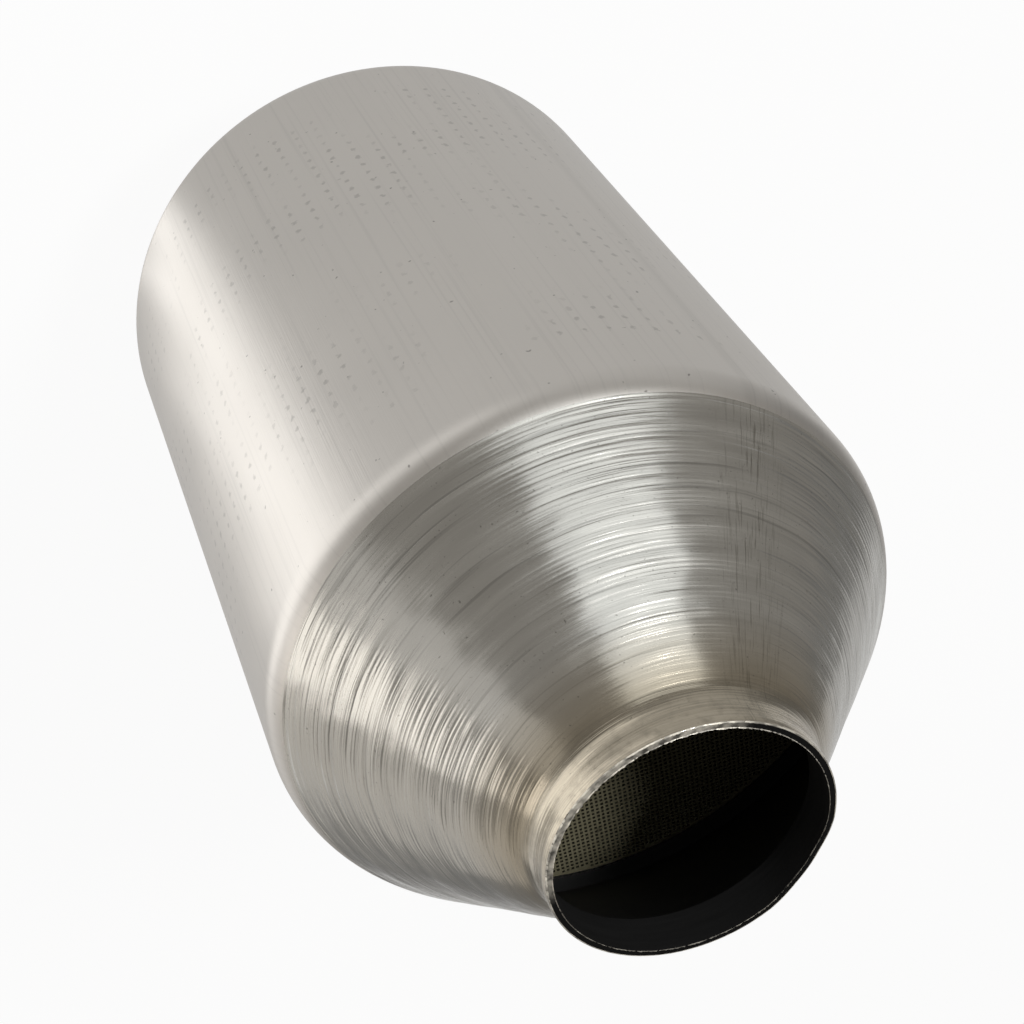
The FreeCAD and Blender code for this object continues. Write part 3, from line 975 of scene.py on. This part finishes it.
class CATALYST_OT_stage(bpy.types.Operator):
    """Set up the pale floor, the soft lights and the camera"""
    bl_idname = "catalyst.stage"
    bl_label = "Floor, lights and camera"

    def execute(self, context):
        settings = context.scene.stage_settings
        self.floor(settings)
        self.world()
        self.lamp("key_softbox", azimuth=-125.5, elevation=31, width=0.60, height=0.45, glow=0.96,
                  colour=(0.92, 0.97, 1.0))
        self.lamp("high_lamp", azimuth=-138, elevation=50, width=0.14, height=0.14, glow=60.0)
        self.lamp("side_softbox", azimuth=-15, elevation=5, width=0.36, height=0.27, glow=1.5,
                  colour=(1.0, 0.965, 0.93))
        self.lamp("side_card", azimuth=-38, elevation=22, width=0.28, height=0.42, glow=0.38)
        self.lamp("far_card", azimuth=24, elevation=-2, width=0.66, height=0.28, glow=0.40,
                  colour=(1.0, 0.96, 0.91))
        self.floor_lamps()
        self.camera(context, settings)
        context.scene.view_settings.view_transform = "Standard"
        return {"FINISHED"}

    def lamp(self, name, azimuth, elevation, width, height, glow, colour=(1, 1, 1), distance=0.75):
        """A soft square lamp of even glow that faces the converter from a compass angle."""
        around, up = math.radians(azimuth), math.radians(elevation)
        aim = Vector((0, 0, TOP * 0.85))
        away = Vector((math.cos(around) * math.cos(up), math.sin(around) * math.cos(up), math.sin(up)))
        bpy.ops.object.light_add(type="AREA", location=aim + away * distance)
        lamp = bpy.context.object
        lamp.name = name
        lamp.data.shape = "RECTANGLE"
        lamp.data.size = width
        lamp.data.size_y = height
        lamp.data.color = colour
        lamp.data.energy = glow * math.pi * width * height
        lamp.rotation_euler = away.to_track_quat("Z", "Y").to_euler()
        lamp.visible_camera = False
        return lamp

    def floor_lamps(self):
        """Lit strips on the floor that fan out from the converter, which the cylinder mirrors."""
        foot = Vector((38 * MM, -51 * MM, 4 * MM))
        for near, far, azimuth, glow in (
            (10, 30, -17, 1.15), (30, 70, -17, 1.15), (70, 140, -17, 1.15), (140, 260, -20, 1.15),
            (260, 900, -27, 1.15), (300, 900, 15, 0.62), (380, 1300, -76, 0.62), (250, 1100, 112, 0.37),
        ):
            middle = (near + far) / 2 * MM
            around = math.radians(azimuth)
            strip = self.lamp("floor_lamp", azimuth=0, elevation=0, width=(far - near) * MM,
                              height=0.88 * middle, glow=glow)
            strip.location = foot + Vector((math.cos(around), math.sin(around), 0)) * middle
            strip.rotation_euler = (math.pi, 0, around)

    def floor(self, settings):
        bpy.ops.mesh.primitive_plane_add(size=6.0, location=(0, 0, -0.05 * MM))
        floor = bpy.context.object
        floor.name = "studio_floor"
        material, tree, shader = new_material("studio_floor")
        shader.inputs["Base Color"].default_value = (*settings.floor, 1)
        shader.inputs["Roughness"].default_value = 0.9
        paths = tree.nodes.new("ShaderNodeLightPath")
        place = object_place(tree)
        # Painted reflection: for glossy rays only, the floor glows, strongest close to the part and fainter
        # further off, except at the front.
        painted_reflection_pool = map_range(tree, vector_math(tree, "LENGTH", place), 0.22, 0.48)
        front = map_range(tree, parts_of(tree, place)["Y"], 0.15, -0.25, 0.0, FLOOR_FRONT_GAIN)
        painted_reflection_pool = math_node(tree, "MULTIPLY", painted_reflection_pool, math_node(tree, "SUBTRACT", FLOOR_DIMMING, front))
        painted_reflection_pool = math_node(tree, "SUBTRACT", FLOOR_NEAR_GLOW, painted_reflection_pool)
        painted_reflection_pool = math_node(tree, "MULTIPLY", painted_reflection_pool, paths.outputs["Is Glossy Ray"])
        glow = node(tree, "ShaderNodeEmission")
        tree.links.new(math_node(tree, "ADD", painted_reflection_pool, paths.outputs["Is Camera Ray"]), glow.inputs["Strength"])
        mix = tree.nodes.new("ShaderNodeMixShader")
        share = math_node(tree, "MULTIPLY", paths.outputs["Is Camera Ray"], 0.94)
        glossy = math_node(tree, "MULTIPLY", paths.outputs["Is Glossy Ray"], 0.85)
        total = math_node(tree, "ADD", share, glossy)
        tree.links.new(total, mix.inputs[0])
        tree.links.new(shader.outputs[0], mix.inputs[1])
        tree.links.new(glow.outputs[0], mix.inputs[2])
        tree.links.new(mix.outputs[0], tree.nodes["Material Output"].inputs["Surface"])
        set_material(floor, material)

    def world(self):
        world = bpy.data.worlds.new("studio_air")
        bpy.context.scene.world = world
        world.use_nodes = True
        tree = world.node_tree
        air = tree.nodes["Background"]
        air.inputs["Color"].default_value = (0.29, 0.278, 0.262, 1)
        white = node(tree, "ShaderNodeBackground", Color=(1, 1, 1, 1), Strength=1.0)
        paths = tree.nodes.new("ShaderNodeLightPath")
        mix = tree.nodes.new("ShaderNodeMixShader")
        tree.links.new(paths.outputs["Is Camera Ray"], mix.inputs[0])
        tree.links.new(air.outputs[0], mix.inputs[1])
        tree.links.new(white.outputs[0], mix.inputs[2])
        tree.links.new(mix.outputs[0], tree.nodes["World Output"].inputs["Surface"])

    def camera(self, context, settings):
        place, aim = Vector(settings.camera_place), Vector(settings.camera_aim)
        bpy.ops.object.camera_add(location=place)
        camera = bpy.context.object
        camera.name = "studio_camera"
        facing = (aim - place).to_track_quat("-Z", "Y")
        rolled = facing @ Quaternion((0, 0, 1), settings.camera_roll)
        camera.rotation_euler = rolled.to_euler()
        camera.data.lens = settings.lens
        camera.data.sensor_width = 36.0
        camera.data.shift_x, camera.data.shift_y = settings.shift
        camera.data.clip_start = 10 * MM
        context.scene.camera = camera


class CATALYST_PT_panel(bpy.types.Panel):
    """Lists the pieces and their sizes"""
    bl_idname = "CATALYST_PT_panel"
    bl_label = "Catalytic Converter"
    bl_space_type = "VIEW_3D"
    bl_region_type = "UI"
    bl_category = "Catalyst"

    def draw(self, context):
        layout = self.layout
        scene = context.scene
        for settings, operator in (
            (scene.shell_sizes, "catalyst.shell"), (scene.shell_colours, None),
            (scene.brick_sizes, "catalyst.brick"), (None, "catalyst.packing"),
            (scene.stage_settings, "catalyst.stage"),
        ):
            box = layout.box()
            if settings:
                for name in settings.__annotations__:
                    box.prop(settings, name)
            if operator:
                box.operator(operator)


CLASSES = (
    ShellSizes, ShellColours, BrickSizes, StageSettings,
    CATALYST_OT_shell, CATALYST_OT_brick, CATALYST_OT_packing, CATALYST_OT_stage, CATALYST_PT_panel,
)


def register():
    for item in CLASSES:
        bpy.utils.register_class(item)
    bpy.types.Scene.shell_sizes = PointerProperty(type=ShellSizes)
    bpy.types.Scene.shell_colours = PointerProperty(type=ShellColours)
    bpy.types.Scene.brick_sizes = PointerProperty(type=BrickSizes)
    bpy.types.Scene.stage_settings = PointerProperty(type=StageSettings)


def unregister():
    for name in ("shell_sizes", "shell_colours", "brick_sizes", "stage_settings"):
        delattr(bpy.types.Scene, name)
    for item in reversed(CLASSES):
        bpy.utils.unregister_class(item)


def main():
    register()
    bpy.ops.catalyst.shell()
    bpy.ops.catalyst.brick()
    bpy.ops.catalyst.packing()
    bpy.ops.catalyst.stage()


if __name__ == "__main__":
    main()
